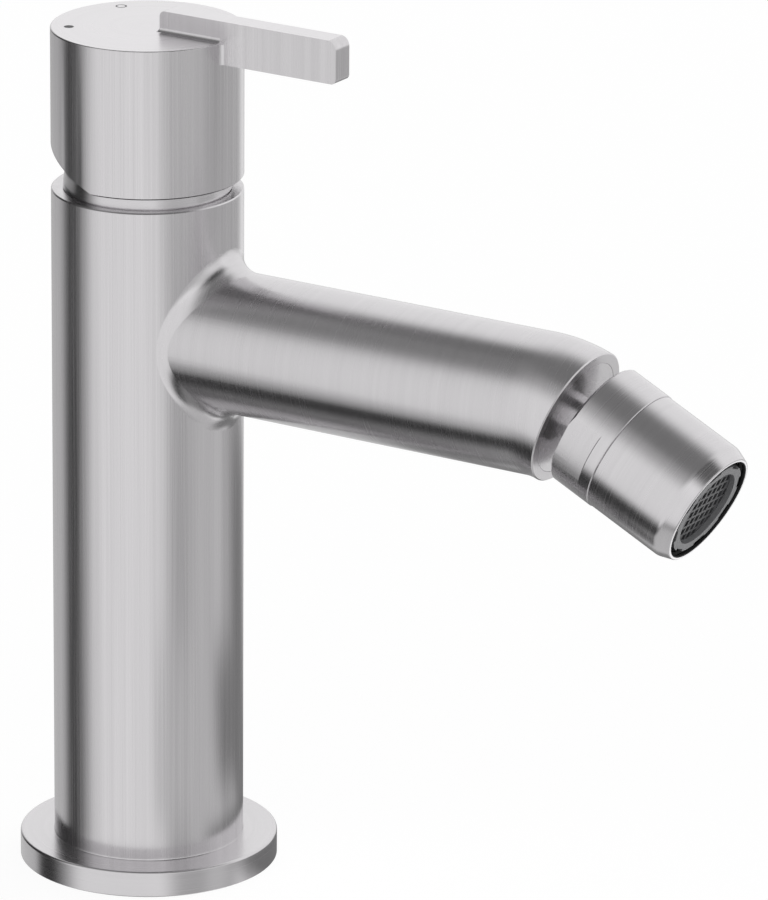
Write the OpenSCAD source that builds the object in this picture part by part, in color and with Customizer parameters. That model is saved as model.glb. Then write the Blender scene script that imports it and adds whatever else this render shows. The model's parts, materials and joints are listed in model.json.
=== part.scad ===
// Single-lever bidet mixer: round column, straight spout with a swivelling outlet, cap with a bar lever.
// Millimetres, +Z up, +X along the spout, origin on the column's axis in the plane of the deck.

/* [Column] */
// Outer diameter of the column and of the handle cap
body_d = 39; // [38.5:0.5:46]
// Height of the column's top edge above the deck
body_h = 143.5; // [140:0.5:180]
// Wall of the hollow lower column
column_wall = 2.5; // [2:0.25:3.5]
// Broken edge of the column's top
body_edge = 0.25; // [0.2:0.05:0.8]
// Concave blend between the column and the spout
blend_r = 5; // [2:0.2:6]

/* [Base] */
// Diameter of the base flange
flange_d = 53; // [52:0.5:60]
// Thickness of the base flange
flange_h = 5.4; // [5:0.2:9]
// Rounded upper edge of the flange
flange_edge = 0.5; // [0.2:0.1:1]
// Depth of the column's spigot in the flange
spigot_h = 2.6; // [1.5:0.1:2.8]
// Wall of the spigot
spigot_wall = 1.4; // [1:0.1:1.8]
// Thickness of the base seal's round section
base_seal_t = 2; // [1.6:0.1:2.4]
// Middle diameter of the base seal
base_seal_d = 44; // [43:0.5:46]

/* [Spout] */
// Outer diameter of the spout
spout_d = 28.8; // [28:0.2:32]
// Depth of the spout's axis below the column's top
spout_drop = 29.2; // [29:0.2:45]
// From the column's axis to the middle of the spout's end face
spout_reach = 101.4; // [90:0.5:140]
// Downward bend at the spout's end, in degrees
spout_bend = 20; // [12:1:24]
// Radius of that bend at the spout's axis
bend_r = 22.7; // [20:0.1:30]
// Inner diameter of the spout's water way
water_d = 21; // [17:0.5:22]
// Core diameter of the thread in the spout's end
end_thread_d = 22.92; // [22.5:0.01:23.2]
// Length of that thread
end_thread_l = 5; // [4:0.5:5.5]
// Broken edge of the spout's end
spout_edge = 0.35; // [0.2:0.05:0.6]

/* [Inlets] */
// Core diameter of the hose threads
hose_core_d = 8.92; // [8:0.01:9.2]
// Length of the hose threads
hose_thread_l = 12; // [8:0.5:14]
// Core diameter of the fixing stud's thread
stud_core_d = 6.65; // [5:0.01:7]
// Length of the fixing stud's thread
stud_thread_l = 12; // [8:0.5:14]
// Fixing stud, behind the column's axis
stud_back = 9; // [8:0.25:11]
// Inlet ports, in front of the column's axis
port_x = 3; // [2.5:0.1:3.5]
// Inlet ports, to each side
port_y = 7; // [6.9:0.1:7.2]
// Diameter of the inlet ports
port_d = 4; // [3:0.1:4.2]
// Outlet port, behind the column's axis
outlet_back = 5.5; // [5:0.1:6]
// Diameter of the outlet port
outlet_d = 5.4; // [4:0.1:5.6]
// Diameter of the passage from the cartridge to the spout
passage_d = 8; // [6:0.1:8.4]

/* [Cartridge] */
// Outer diameter of the cartridge
cart_d = 25; // [24.9:0.1:25.4]
// Depth of the cartridge's seat below the column's top
seat_depth = 19.5; // [18:0.1:20]
// Height of the cartridge's bottom plate
cart_base_h = 5; // [4:0.1:5.5]
// Thickness of the fixed ceramic disc
fixed_disc_h = 3.2; // [2.4:0.1:3.6]
// Thickness of the sliding ceramic disc
moving_disc_h = 3; // [2.4:0.1:3.4]
// Thickness of the disc carrier
carrier_h = 3.5; // [3:0.1:4]
// From the spindle's pivot down to its driving ball
arm_l = 7.2; // [6.8:0.1:7.6]
// Diameter of the spindle's driving ball
drive_ball_d = 4; // [3.6:0.1:4.4]
// Width of the square spindle
spindle_w = 6; // [5:0.1:6.4]
// Diameter of the pivot pin
pin_d = 3; // [2.5:0.1:3.2]
// Lift of the lever from closed to fully open, in degrees
lift_angle = 22; // [15:1:22]
// Thickness of the rubber seals' rings across their section
seal_w = 0.7; // [0.5:0.05:0.8]
// Height of the rubber seals
seal_h = 1.6; // [1.2:0.1:2]
// How far the seals stand proud
seal_proud = 0.4; // [0.2:0.05:0.6]
// Outer diameter of the cartridge nut's thread
nut_d = 28.8; // [28.4:0.1:29]
// Length of the cartridge nut's thread
nut_thread_l = 7.5; // [6:0.1:8]

/* [Handle] */
// Gap between the column and the cap
cap_gap = 2.7; // [2:0.1:4]
// Height of the cap
cap_h = 30.8; // [29:0.2:40]
// Rise of the cap's rear lower edge, in degrees
cap_cut = 23; // [22:1:25]
// Step from the column in to the neck ring
neck_step = 2.4; // [2.2:0.1:3]
// Thickness of the lever bar
bar_t = 5; // [4:0.1:7]
// Height of the lever bar
bar_h = 8.9; // [7:0.1:12]
// How far the bar stands above the cap
bar_proud = 4.4; // [3:0.1:6]
// From the column's axis to the bar's inner end
bar_start = 4.65; // [2:0.05:8]
// From the column's axis to the bar's outer end
bar_end = 46.45; // [40:0.05:70]
// Rounding of the bar's upper outer edge
bar_nose_top = 2; // [1:0.1:3]
// Rounding of the bar's lower outer edge
bar_nose_low = 1.1; // [0.8:0.1:2.5]
// Rounding of the bar's inner edge
bar_heel = 1.2; // [0.6:0.1:2]
// Concave blend between the bar and the cap
bar_blend = 1; // [0.5:0.1:1.4]
// Diameter of the grub screw
grub_d = 5; // [4:0.1:5.6]
// Length of the grub screw
grub_l = 6; // [5:0.5:8]
// Diameter of the plug over the grub screw
plug_d = 6.4; // [6:0.1:7]
// Length of that plug
plug_l = 3.5; // [3:0.1:5]

/* [Outlet] */
// Diameter of the swivel's ball
ball_d = 17; // [16.4:0.1:17.4]
// From the spout's end face to the ball's centre
ball_reach = 11.8; // [11.6:0.1:13]
// Diameter of the ball's hollow neck
neck_d = 9.2; // [8:0.1:9.6]
// Thickness of the ball's seats
ball_seat_t = 0.85; // [0.7:0.05:0.9]
// Outer diameter of the swivel nut
swivel_d = 26.4; // [26:0.1:27]
// Length of the swivel nut behind the ball's centre
swivel_back = 8; // [7.6:0.1:8.2]
// Joint line of the nut and the shell, in front of the ball's centre
swivel_front = 1.6; // [0.8:0.1:2]
// Depth of the two spanner flats
flat_depth = 1.4; // [0.6:0.1:1.5]
// Length of the spanner flats
flat_l = 6.9; // [5:0.1:7]
// Downward tilt of the outlet from the spout's end, in degrees
rest_tilt = 6; // [0:0.5:8]
// Step in diameter from the swivel nut down to the shell
shell_step = 0.3; // [0.1:0.1:0.5]
// Drop in diameter from the shell down to the rim
nose_drop = 1.9; // [1.4:0.1:2.4]
// Slope of the shell's front, in degrees
nose_slope = 18; // [15:1:25]
// Rounding between the shell's side and that slope
nose_r = 3; // [1:0.5:5]
// From the ball's centre to the rim
shell_l = 21.5; // [21.3:0.1:24]
// Diameter of the aerator's bore
aerator_d = 22.6; // [21.8:0.1:22.9]
// Height of the aerator insert
insert_h = 10.2; // [9.6:0.1:10.4]
// Outer diameter of the insert's key ring
key_ring_d = 20.3; // [20:0.1:20.8]
// Number of notches round the key ring
key_notches = 8; // [4:1:12]
// Diameter of the open outlet grid
grid_d = 16.6; // [15:0.1:17]
// Spacing of the outlet grid's cells along a row
grid_pitch = 1.9; // [1.4:0.1:2.4]
// Spacing of the outlet grid's rows
grid_rise = 2.1; // [1.6:0.1:2.6]
// Width of the outlet grid's bars
grid_bar = 0.55; // [0.3:0.05:0.7]

/* [Hidden] */

$fn = 96;
// Overlap of cutting shapes past the faces that they cut
over = 1;
// Radial room of a screwed or pushed fit
fit = 0.05;
// Radial room of a running fit
run = 0.05;
// Room between pieces that only pass each other
free_gap = 0.3;

steel = [0.74, 0.74, 0.74];
brass = [0.78, 0.63, 0.36];
rubber = [0.1, 0.1, 0.1];
pale_plastic = [0.82, 0.82, 0.78];
grey_plastic = [0.5, 0.5, 0.5];
dark_plastic = [0.2, 0.2, 0.21];
ceramic = [0.93, 0.92, 0.88];

// Column
body_r = body_d / 2;
bore_r = body_r - column_wall;
spout_r = spout_d / 2;
spout_z = body_h - spout_drop;
seat_z = body_h - seat_depth;
passage_web = 3;
inlet_roof = spout_z - passage_d / 2 - passage_web;
chamber_top = inlet_roof - max(hose_thread_l, stud_thread_l);
spigot_r = bore_r + spigot_wall;
spigot_z = flange_h - spigot_h;
water_step = 2;
water_step_x = body_r + water_step;

// Spout end: middle of the end face, and the start of the bend
end_x = spout_reach - spout_edge * cos(spout_bend);
bend_x = end_x - bend_r * sin(spout_bend);
end_z = spout_z - bend_r * (1 - cos(spout_bend)) - spout_edge * sin(spout_bend);
collar_h = 1.5;
collar_step = 0.75;
washer_h = 1;
collar_r = end_thread_d / 2 + collar_step;
end_bore_l = collar_h + washer_h + end_thread_l;

// Cartridge, from its seat upwards
cart_r = cart_d / 2;
cart_wall = 1.9;
cart_in_r = cart_r - cart_wall;
cart_base_z = seat_z + seal_proud;
cart_top_of_base = cart_base_z + cart_base_h;
disc_room = 0.2;
disc_r = cart_in_r - disc_room;
fixed_disc_z = cart_top_of_base + seal_proud;
disc_film = 0.02;
moving_disc_z = fixed_disc_z + fixed_disc_h + disc_film;
carrier_z = moving_disc_z + moving_disc_h;
drive_ball_z = carrier_z + drive_ball_d / 2 + free_gap;
pivot_z = drive_ball_z + arm_l;
disc_travel = arm_l * sin(lift_angle);
disc_margin = 0.45;
moving_disc_r = disc_r - disc_travel / 2 - disc_margin;
disc_rest_x = -disc_travel / 2;
rail_w = 1.5;
rail_y = moving_disc_r - rail_w;
rotor_z = carrier_z + carrier_h + free_gap;
rotor_flange_h = 4.5;
rotor_room = 0.1;
rotor_r = cart_in_r - rotor_room;
rotor_neck_r = 9.4;
rotor_head = 4.6;
rotor_top_z = pivot_z + rotor_head;
housing_lip_z = rotor_z + rotor_flange_h + run;
housing_lip_h = 1.3;
housing_top_z = housing_lip_z + housing_lip_h;
nut_r = nut_d / 2;
nut_lip_h = 2.4;
thread_relief = 1;
nut_top_z = housing_top_z + fit + nut_lip_h;
nut_hex_step = 0.5;
nut_hex_r = nut_r + nut_hex_step;
nut_mouth_room = 0.8;
neck_r = body_r - neck_step;
neck_shoulder = 0.4;
neck_straight_z = body_h + cap_gap + neck_shoulder;
neck_roof_h = 2.4;
neck_top_z = nut_top_z + neck_roof_h;
neck_mouth_room = 1.2;
neck_mouth_r = rotor_neck_r + neck_mouth_room;
neck_nut_room = 0.2;

// Handle
cap_z = body_h + cap_gap;
cap_top = cap_z + cap_h;
cap_edge = 0.3;
cap_room = 0.4;
cap_bore_r = neck_r + cap_room;
cap_headroom = 6.4;
cap_bore_top = neck_top_z + cap_headroom;
bar_top = cap_top + bar_proud;
bar_low = bar_top - bar_h;
socket_h = 12;
socket_top = cap_bore_top + socket_h;
spindle_end_room = 0.5;
spindle_top = socket_top - spindle_end_room;
grub_z = cap_bore_top + socket_h / 2;

// Swivel outlet
ball_r = ball_d / 2;
ball_x = spout_reach + ball_reach * cos(spout_bend);
ball_z = end_z - ball_reach * sin(spout_bend);
seat_in_r = ball_r + run;
seat_out_r = seat_in_r + ball_seat_t;
cup_r = seat_out_r + run;
swivel_r = swivel_d / 2;
swivel_mouth_room = 3.1;
swivel_mouth_r = neck_d / 2 + swivel_mouth_room;
cup_wall = 1.75;
swivel_thread_r = cup_r + cup_wall;
swivel_thread_back = swivel_back - flat_l - free_gap;
seat_edge = 2;
seat_reach = 5;
ball_seal_t = 2;
ball_seal_x = 7.4;
ball_seal_mid = ball_r + ball_seal_t / 2 + run;
ball_seal_r = sqrt(pow(ball_seal_mid, 2) - pow(ball_seal_x, 2));
washer_l = 1.5;
shell_way_r = 5;
shell_d = swivel_d - shell_step;
rim_d = shell_d - nose_drop;
aerator_r = aerator_d / 2;
insert_x = shell_l - free_gap - insert_h;
bore_x = insert_x - washer_l;
insert_room = 0.15;
insert_r = aerator_r - insert_room;
small_edge = 0.15;
key_ring_h = 2.6;
insert_thread_top = insert_x + insert_h - key_ring_h;
tray_wall = 1.3;
tray_r = insert_r - tray_wall;
tray_l = 3.2;
screen_h = 0.6;
grid_h = 1;
grid_recess = 1.1;
grid_x = insert_x + insert_h - grid_recess - grid_h;
grid_shelf = 0.5;
grid_seat_r = grid_d / 2 + grid_shelf;

// A solid of revolution with its axis turned to +X; the profile is [radius, place along the axis]
module turned_x(profile) {
  rotate([0, 90, 0]) rotate_extrude() polygon(profile);
}

// A rod along +X from x0 to x1
module rod_x(r, x0, x1) {
  translate([x0, 0, 0]) rotate([0, 90, 0]) cylinder(r = r, h = x1 - x0);
}

// A tube or ring along +Z
module ring_z(r_out, r_in, z0, z1) {
  rotate_extrude() translate([r_in, z0]) square([r_out - r_in, z1 - z0]);
}

// The frame of the spout's end, centred on the swivel's ball, with +X out of the spout
module at_spout_end() {
  translate([ball_x, 0, ball_z]) rotate([0, spout_bend, 0]) children();
}

// The frame of the outlet at rest, centred on the ball, with +X along the water jet
module at_outlet() {
  translate([ball_x, 0, ball_z]) rotate([0, spout_bend + rest_tilt, 0]) children();
}

// Points of a quarter-ellipse from [r0, z0], upright there, to [r1, z1], level there
function dome_points(r0, z0, r1, z1, n) =
  [for (i = [0 : n]) [r1 + (r0 - r1) * cos(90 * i / n), z0 + (z1 - z0) * sin(90 * i / n)]];

// Points of an arc
function arc_points(c, r, a0, a1, n) =
  [for (i = [0 : n]) c + r * [cos(a0 + (a1 - a0) * i / n), sin(a0 + (a1 - a0) * i / n)]];

// Blend of the column and the spout: a ball of blend_r rolled round the corner between the two cylinders.
// It is let into both by blend_sink, so that its edges meet the cylinders cleanly.
blend_sink = 0.05;
blend_rings = 64;
blend_steps = 7;
blend_depth = 1.2;
function blend_centre(a) = let (rc = body_r + blend_r - blend_sink, rs = spout_r + blend_r - blend_sink)
  [sqrt(rc * rc - pow(rs * sin(a), 2)), rs * sin(a), rs * cos(a)];
function unit(v) = v / norm(v);
function blend_arc(a) = let (
    c = blend_centre(a),
    to_column = unit([-c[0], -c[1], 0]),
    to_spout = [0, -sin(a), -cos(a)],
    turn = acos(to_column * to_spout))
  [for (i = [0 : blend_steps]) let (t = i / blend_steps)
    c + blend_r * (sin((1 - t) * turn) * to_column + sin(t * turn) * to_spout) / sin(turn)];
function blend_ring(a) = let (
    arc = blend_arc(a),
    low = arc[0],
    high = arc[blend_steps],
    corner_x = sqrt(body_r * body_r - pow(spout_r * sin(a), 2)),
    column_in = (body_r - blend_depth) / norm([low[0], low[1]]),
    spout_in = spout_r - blend_depth)
  concat(arc, [
    [high[0], spout_in * sin(a), spout_in * cos(a)],
    [corner_x - blend_depth, spout_in * sin(a), spout_in * cos(a)],
    [low[0] * column_in, low[1] * column_in, low[2]]]);

module spout_blend() {
  per_ring = blend_steps + 4;
  points = [for (i = [0 : blend_rings - 1]) each blend_ring(360 * i / blend_rings)];
  faces = [for (i = [0 : blend_rings - 1]) for (j = [0 : per_ring - 1]) let (
      a = i * per_ring + j,
      b = i * per_ring + (j + 1) % per_ring,
      c = ((i + 1) % blend_rings) * per_ring + j,
      d = ((i + 1) % blend_rings) * per_ring + (j + 1) % per_ring)
    each [[a, c, b], [b, c, d]]];
  translate([0, 0, spout_z]) polyhedron(points = points, faces = faces);
}

// The bent end of the spout and its bevelled tip, each a hair's breadth slimmer than what it is let into
bend_lap = 1;
tip_lap = 0.3;
hair = 0.02;
elbow_r = spout_r - hair;
tip_r = elbow_r - hair;
module spout_elbow() {
  translate([bend_x, 0, spout_z - bend_r]) rotate([90, 0, 0]) rotate([0, 0, 90 - spout_bend])
    rotate_extrude(angle = spout_bend + bend_lap) translate([bend_r, 0]) circle(elbow_r);
}

module body_shell() {
  rotate_extrude() polygon([[0, spigot_z], [spigot_r - fit, spigot_z], [spigot_r - fit, flange_h],
    [body_r, flange_h], [body_r, body_h - body_edge], [body_r - body_edge, body_h], [0, body_h]]);
  translate([0, 0, spout_z]) rod_x(spout_r, 0, bend_x);
  spout_elbow();
  tip_x = -ball_reach - spout_edge;
  at_spout_end() turned_x([[0, tip_x - tip_lap], [tip_r, tip_x - tip_lap], [tip_r, tip_x],
    [tip_r - spout_edge, -ball_reach], [0, -ball_reach]]);
  spout_blend();
}

module body() {
  color(steel) difference() {
    body_shell();
    // Hollow lower column
    translate([0, 0, spigot_z - over]) cylinder(r = bore_r, h = chamber_top - spigot_z + over);
    // Cartridge pocket with the nut's thread above it
    translate([0, 0, seat_z]) cylinder(r = cart_r + fit, h = seat_depth + over);
    translate([0, 0, body_h - nut_thread_l - thread_relief])
      cylinder(r = nut_r + fit, h = nut_thread_l + thread_relief + over);
    // Hot and cold inlets
    for (side = [-1, 1]) translate([port_x, side * port_y, chamber_top - over]) {
      cylinder(d = hose_core_d, h = hose_thread_l + over);
      cylinder(d = port_d, h = seat_z - chamber_top + 2 * over);
    }
    // Fixing stud
    translate([-stud_back, 0, chamber_top - over]) cylinder(d = stud_core_d, h = stud_thread_l + over);
    // Mixed water, from the cartridge down and forward into the spout
    translate([-outlet_back, 0, spout_z]) cylinder(d = outlet_d, h = seat_z - spout_z + over);
    translate([0, 0, spout_z]) {
      rod_x(passage_d / 2, -outlet_back, water_step_x + over);
      rod_x(water_d / 2, water_step_x, end_x - end_thread_l);
    }
    // Locating holes of the cartridge
    for (side = [-1, 1]) translate([-peg_back, side * peg_side, seat_z - peg_l])
      cylinder(r = peg_r + fit, h = peg_l + over);
    // Threaded end of the spout, with the seat of the ball stud's collar
    at_spout_end() {
      rod_x(end_thread_d / 2, -ball_reach - end_bore_l, -ball_reach + over);
      rod_x(collar_r + fit, -ball_reach - collar_h - washer_h, -ball_reach + over);
    }
  }
}

module base_flange() {
  flange_r = flange_d / 2;
  groove_w = base_seal_t + free_gap;
  foot_edge = 0.2;
  color(steel) difference() {
    rotate_extrude() polygon(concat(
      [[bore_r, 0], [flange_r - foot_edge, 0], [flange_r, foot_edge]],
      arc_points([flange_r - flange_edge, flange_h - flange_edge], flange_edge, 0, 90, 8),
      [[spigot_r, flange_h], [spigot_r, spigot_z - fit], [bore_r, spigot_z - fit]]));
    ring_z(base_seal_d / 2 + groove_w / 2, base_seal_d / 2 - groove_w / 2, -over, base_seal_t + fit);
  }
}

module base_seal() {
  color(rubber) translate([0, 0, base_seal_t / 2]) rotate_extrude()
    translate([base_seal_d / 2, 0]) circle(d = base_seal_t, $fn = 32);
}

module neck_ring() {
  roof_z = nut_top_z + fit;
  color(steel) rotate_extrude() polygon(concat(
    [[nut_hex_r + neck_nut_room, body_h], [neck_r, body_h]],
    dome_points(neck_r, neck_straight_z, neck_mouth_r, neck_top_z, 9),
    [[neck_mouth_r, roof_z], [nut_hex_r + neck_nut_room, roof_z]]));
}

module cartridge_nut() {
  thread_z = body_h - nut_thread_l;
  color(brass) difference() {
    union() {
      translate([0, 0, thread_z]) cylinder(r = nut_r, h = nut_thread_l);
      translate([0, 0, body_h]) cylinder(r = nut_hex_r, h = nut_top_z - body_h, $fn = 6);
    }
    translate([0, 0, thread_z - over])
      cylinder(r = cart_r + fit, h = housing_top_z + fit - thread_z + over);
    translate([0, 0, housing_top_z]) cylinder(r = rotor_neck_r + nut_mouth_room, h = nut_lip_h + 2 * over);
  }
}

module cartridge_housing() {
  mouth_r = rotor_neck_r + rotor_room;
  color(pale_plastic) rotate_extrude() polygon([[cart_in_r, cart_top_of_base], [cart_r, cart_top_of_base],
    [cart_r, housing_top_z], [mouth_r, housing_top_z], [mouth_r, housing_lip_z],
    [cart_in_r, housing_lip_z]]);
}

// Pegs that stop the cartridge from turning
peg_r = 1.2;
peg_l = 2.4;
peg_back = 6;
peg_side = 8.5;

// Places and port diameters of the three water ways through the cartridge's bottom and fixed disc
ports = [[[port_x, -port_y], port_d], [[port_x, port_y], port_d], [[-outlet_back, 0], outlet_d]];

module cut_ports(z0, z1) {
  for (p = ports) translate([p[0][0], p[0][1], z0]) cylinder(d = p[1], h = z1 - z0);
}

// Recesses for the seals round the three ports
module cut_seal_seats(z0, z1) {
  for (p = ports) translate([p[0][0], p[0][1], z0]) cylinder(r = p[1] / 2 + seal_w + fit, h = z1 - z0);
}

module port_seals(z0) {
  for (p = ports) translate([p[0][0], p[0][1], 0]) ring_z(p[1] / 2 + seal_w, p[1] / 2, z0, z0 + seal_h);
}

module cartridge_base() {
  color(pale_plastic) {
    difference() {
      translate([0, 0, cart_base_z]) cylinder(r = cart_r, h = cart_base_h);
      cut_ports(cart_base_z - over, cart_top_of_base + over);
      cut_seal_seats(cart_base_z - over, seat_z + seal_h);
      cut_seal_seats(fixed_disc_z - seal_h, cart_top_of_base + over);
    }
    for (side = [-1, 1]) translate([-peg_back, side * peg_side, seat_z - peg_l + free_gap])
      cylinder(r = peg_r, h = cart_base_z - seat_z + peg_l);
  }
}

module inlet_seals() {
  color(rubber) port_seals(seat_z);
}

module disc_seals() {
  color(rubber) port_seals(fixed_disc_z - seal_h);
}

module fixed_disc() {
  color(ceramic) difference() {
    translate([0, 0, fixed_disc_z]) cylinder(r = disc_r, h = fixed_disc_h);
    cut_ports(fixed_disc_z - over, fixed_disc_z + fixed_disc_h + over);
  }
}

// Lugs by which the carrier drives the sliding disc
lug_r = 1.1;
lug_h = 1.1;
lug_y = 5.2;

module moving_disc() {
  pocket_wall = 1.3;
  pocket_r = moving_disc_r - pocket_wall;
  pocket_h = 1.4;
  lug_room = 0.1;
  pocket_edge = port_x - port_d / 2 - free_gap;
  color(ceramic) difference() {
    translate([disc_rest_x, 0, moving_disc_z]) cylinder(r = moving_disc_r, h = moving_disc_h);
    // Mixing pocket: closed off from the inlets at rest, over them when the disc slides forward
    intersection() {
      translate([disc_rest_x, 0, moving_disc_z - over]) cylinder(r = pocket_r, h = pocket_h + over);
      translate([pocket_edge - 2 * disc_r, -disc_r, moving_disc_z - over])
        cube([2 * disc_r, 2 * disc_r, pocket_h + 2 * over]);
    }
    for (side = [-1, 1]) translate([disc_rest_x, side * lug_y, carrier_z - lug_h - lug_room])
      cylinder(r = lug_r + fit, h = lug_h + over);
  }
}

module disc_carrier() {
  carrier_r = moving_disc_r - disc_room;
  ball_room = 0.1;
  color(pale_plastic) {
    difference() {
      intersection() {
        translate([disc_rest_x, 0, carrier_z]) cylinder(r = carrier_r, h = carrier_h);
        translate([-body_r, -rail_y + run, carrier_z - over])
          cube([body_d, 2 * (rail_y - run), carrier_h + 2 * over]);
      }
      translate([0, 0, carrier_z - over])
        cylinder(r = drive_ball_d / 2 + ball_room, h = carrier_h + 2 * over);
    }
    for (side = [-1, 1]) translate([disc_rest_x, side * lug_y, carrier_z - lug_h])
      cylinder(r = lug_r, h = lug_h + carrier_h / 2);
  }
}

// Room for the rotor's friction ring
rotor_seal_t = 1.4;
rotor_seal_r = cart_in_r - rotor_seal_t / 2 - fit;
rotor_seal_z = rotor_z + rotor_flange_h / 2;

module rotor() {
  slot_l = 11.2;
  rail_l = 8.6;
  rail_mid = rail_y + rail_w / 2;
  pin_room = 0.01;
  color(pale_plastic) {
    difference() {
      union() {
        translate([0, 0, rotor_z]) cylinder(r = rotor_r, h = rotor_flange_h);
        translate([0, 0, rotor_z]) cylinder(r = rotor_neck_r, h = rotor_top_z - rotor_z);
      }
      translate([-slot_l / 2, -spindle_w / 2 - run, rotor_z - over])
        cube([slot_l, spindle_w + 2 * run, rotor_top_z - rotor_z + 2 * over]);
      translate([0, body_r, pivot_z]) rotate([90, 0, 0]) cylinder(r = pin_d / 2 + pin_room, h = body_d);
      ring_z(rotor_r + over, rotor_seal_r - rotor_seal_t / 2 - fit,
        rotor_seal_z - rotor_seal_t / 2 - fit, rotor_seal_z + rotor_seal_t / 2 + fit);
    }
    // Rails that guide the disc carrier
    for (side = [-1, 1])
      translate([-rail_l / 2, side * rail_mid - rail_w / 2, carrier_z + free_gap])
        cube([rail_l, rail_w, rotor_z - carrier_z]);
  }
}

module rotor_seal() {
  color(rubber) translate([0, 0, rotor_seal_z]) rotate_extrude()
    translate([rotor_seal_r, 0]) circle(d = rotor_seal_t, $fn = 32);
}

module pivot_pin() {
  pin_inset = 0.8;
  pin_l = 2 * (rotor_neck_r - pin_inset);
  color(steel) translate([0, pin_l / 2, pivot_z]) rotate([90, 0, 0]) cylinder(d = pin_d, h = pin_l);
}

module spindle() {
  shank_step = 0.5;
  shank_r = drive_ball_d / 2 - shank_step;
  block_drop = 3.4;
  block_z = pivot_z - block_drop;
  tip = 0.6;
  color(brass) difference() {
    union() {
      translate([0, 0, drive_ball_z]) sphere(d = drive_ball_d);
      translate([0, 0, drive_ball_z]) cylinder(r = shank_r, h = pivot_z - drive_ball_z);
      translate([-spindle_w / 2, -spindle_w / 2, block_z])
        cube([spindle_w, spindle_w, spindle_top - tip - block_z]);
      translate([-spindle_w / 2 + tip, -spindle_w / 2 + tip, block_z])
        cube([spindle_w - 2 * tip, spindle_w - 2 * tip, spindle_top - block_z]);
    }
    translate([0, spindle_w, pivot_z]) rotate([90, 0, 0])
      cylinder(r = pin_d / 2 + run, h = 2 * spindle_w);
  }
}

// Outline of the lever bar, seen from the side: [x, z]
function bar_outline(x0) = concat(
  [[x0, bar_low]],
  arc_points([bar_end - bar_nose_low, bar_low + bar_nose_low], bar_nose_low, -90, 0, 8),
  arc_points([bar_end - bar_nose_top, bar_top - bar_nose_top], bar_nose_top, 0, 90, 10),
  arc_points([bar_start + bar_heel, bar_top - bar_heel], bar_heel, 90, 180, 8),
  [[bar_start, cap_top - over], [x0, cap_top - over]]);

// Section of a concave blend in a square corner at the origin, sunk a little into both faces
function blend_section(r) =
  concat([[-r / 2, -r / 2], [r, -r / 2]], arc_points([r, r], r, 270, 180, 6), [[-r / 2, r]]);

// Concave blends along the foot of the bar, on the cap's top and down its wall
module bar_blends() {
  wall_c = [sqrt(pow(body_r + bar_blend, 2) - pow(bar_t / 2 + bar_blend, 2)), bar_t / 2 + bar_blend];
  wall_turn = atan2(wall_c[1], wall_c[0]);
  foot_l = wall_c[0] - bar_start - bar_blend;
  for (side = [0, 1]) mirror([0, side, 0]) {
    translate([bar_start, bar_t / 2, cap_top]) rotate([90, 0, 90]) linear_extrude(foot_l)
      polygon(blend_section(bar_blend));
    translate([bar_start, bar_t / 2, cap_top]) rotate([0, 0, 90]) rotate_extrude(angle = 90)
      polygon(concat([[0, -bar_blend / 2], [bar_blend, -bar_blend / 2]],
        arc_points([bar_blend, bar_blend], bar_blend, 270, 180, 6)));
    translate([0, 0, bar_low]) linear_extrude(cap_top - cap_edge - bar_low)
      polygon(concat([[body_r - bar_blend, bar_t / 2 - bar_blend], [wall_c[0], bar_t / 2 - bar_blend]],
        arc_points(wall_c, bar_blend, 270, 180 + wall_turn, 6)));
  }
  translate([bar_start, -bar_t / 2, cap_top]) rotate([90, 0, 180]) linear_extrude(bar_t)
    polygon(blend_section(bar_blend));
}

module handle() {
  color(steel) difference() {
    union() {
      difference() {
        rotate_extrude() polygon(concat([[0, cap_z], [body_r - cap_edge, cap_z], [body_r, cap_z + cap_edge]],
          arc_points([body_r - cap_edge, cap_top - cap_edge], cap_edge, 0, 90, 4), [[0, cap_top]]));
        // Rear lower edge cut back, to clear the column when the lever is lifted
        translate([0, 0, cap_z]) rotate([0, cap_cut, 0]) translate([-2 * body_d, -body_d, -body_d])
          cube([2 * body_d, 2 * body_d, body_d]);
      }
      translate([0, bar_t / 2, 0]) rotate([90, 0, 0]) linear_extrude(bar_t) polygon(bar_outline(body_r / 2));
      bar_blends();
    }
    translate([0, 0, cap_z - over]) cylinder(r = cap_bore_r, h = cap_bore_top - cap_z + over);
    translate([-spindle_w / 2 - fit, -spindle_w / 2 - fit, cap_bore_top - over])
      cube([spindle_w + 2 * fit, spindle_w + 2 * fit, socket_top - cap_bore_top + over]);
    translate([0, 0, grub_z]) {
      rod_x(grub_d / 2 + fit, -body_r - over, 0);
      rod_x(plug_d / 2 + fit, -body_r - over, -body_r + plug_l + fit);
    }
  }
}

module grub_screw() {
  hex_d = grub_d / 2;
  color(steel) translate([0, 0, grub_z]) difference() {
    rod_x(grub_d / 2, -spindle_w / 2 - grub_l, -spindle_w / 2);
    translate([-spindle_w / 2 - grub_l - over, 0, 0]) rotate([0, 90, 0])
      cylinder(d = hex_d, h = grub_l / 2 + over, $fn = 6);
  }
}

module screw_plug() {
  color(steel) intersection() {
    translate([0, 0, grub_z]) rod_x(plug_d / 2, -body_r, -body_r + plug_l);
    translate([0, 0, grub_z - plug_d]) cylinder(r = body_r - fit, h = 2 * plug_d);
  }
}

module ball_stud() {
  thread_end_room = 0.5;
  neck_wall = 1.6;
  color(steel) at_spout_end() difference() {
    union() {
      sphere(r = ball_r);
      rod_x(neck_d / 2, -ball_reach - collar_h, 0);
      rod_x(collar_r, -ball_reach - collar_h, -ball_reach - fit);
      rod_x(end_thread_d / 2 - fit, -ball_reach - end_bore_l + thread_end_room, -ball_reach - collar_h);
    }
    rod_x(neck_d / 2 - neck_wall, -ball_reach - end_bore_l - over, ball_r + over);
  }
}

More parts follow.
